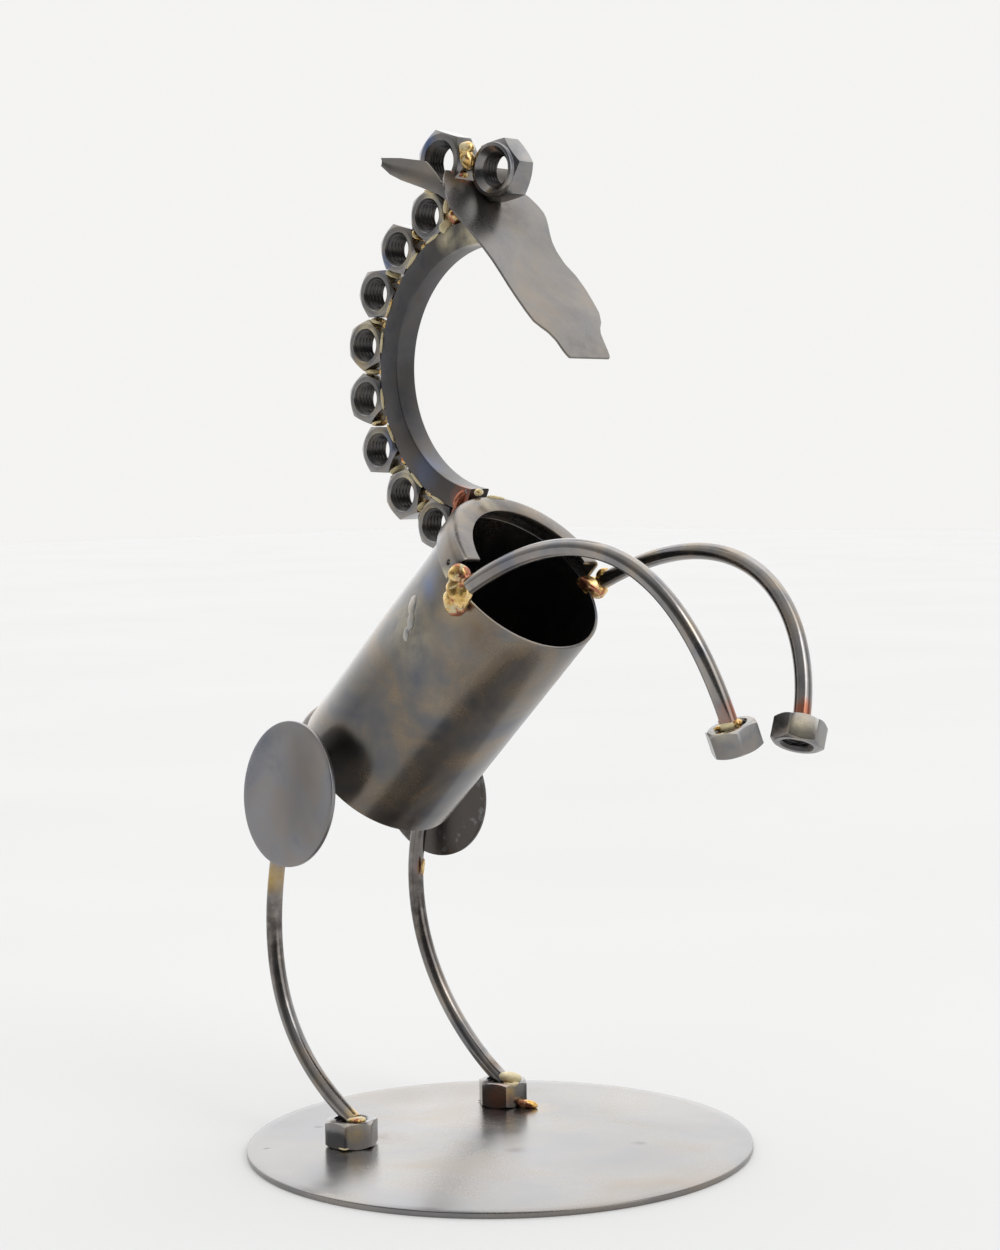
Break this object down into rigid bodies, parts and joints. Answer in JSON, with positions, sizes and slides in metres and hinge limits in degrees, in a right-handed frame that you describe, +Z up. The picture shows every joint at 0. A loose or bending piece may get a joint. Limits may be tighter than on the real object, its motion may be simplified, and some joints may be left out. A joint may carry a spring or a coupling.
{
  "type": "scrap metal horse sculpture",
  "caption": "Rearing horse welded from scrap steel on a round base plate: tube body, bent rod legs, nut hooves, mane and eyes, curved bar neck, cut sheet face.",
  "frame": {"origin": "centre of the underside of the round base plate", "axes": "+Z up out of the base plate, +X the way the horse faces, -Y on the horse's right side"},
  "size_m": [0.3413, 0.254, 0.5092],
  "materials": {
    "base_steel": "satin",
    "nut_steel": "satin",
    "rod_steel": "satin",
    "disc_steel": "satin",
    "tube_steel": "satin",
    "collar_steel": "satin",
    "bar_steel": "satin",
    "sheet_steel": "satin"
  },
  "bodies": {
    "root": {"base_plate": "base_steel", "hind_hoof_nut_right": "nut_steel", "hind_hoof_nut_left": "nut_steel", "hind_leg_rod_right": "rod_steel", "hind_leg_rod_left": "rod_steel", "thigh_disc_right": "disc_steel", "thigh_disc_left": "disc_steel", "body_tube": "tube_steel", "collar": "collar_steel", "neck_bar": "bar_steel", "mane_nut_1": "nut_steel", "mane_nut_2": "nut_steel", "mane_nut_3": "nut_steel", "mane_nut_4": "nut_steel", "mane_nut_5": "nut_steel", "mane_nut_6": "nut_steel", "mane_nut_7": "nut_steel", "mane_nut_8": "nut_steel", "face_plate": "sheet_steel", "eye_nut_right": "nut_steel", "eye_nut_left": "nut_steel", "front_leg_rod_right": "rod_steel", "front_leg_rod_left": "rod_steel", "front_hoof_nut_right": "nut_steel", "front_hoof_nut_left": "nut_steel", "tail": "rod_steel"}
  },
  "joints": []
}
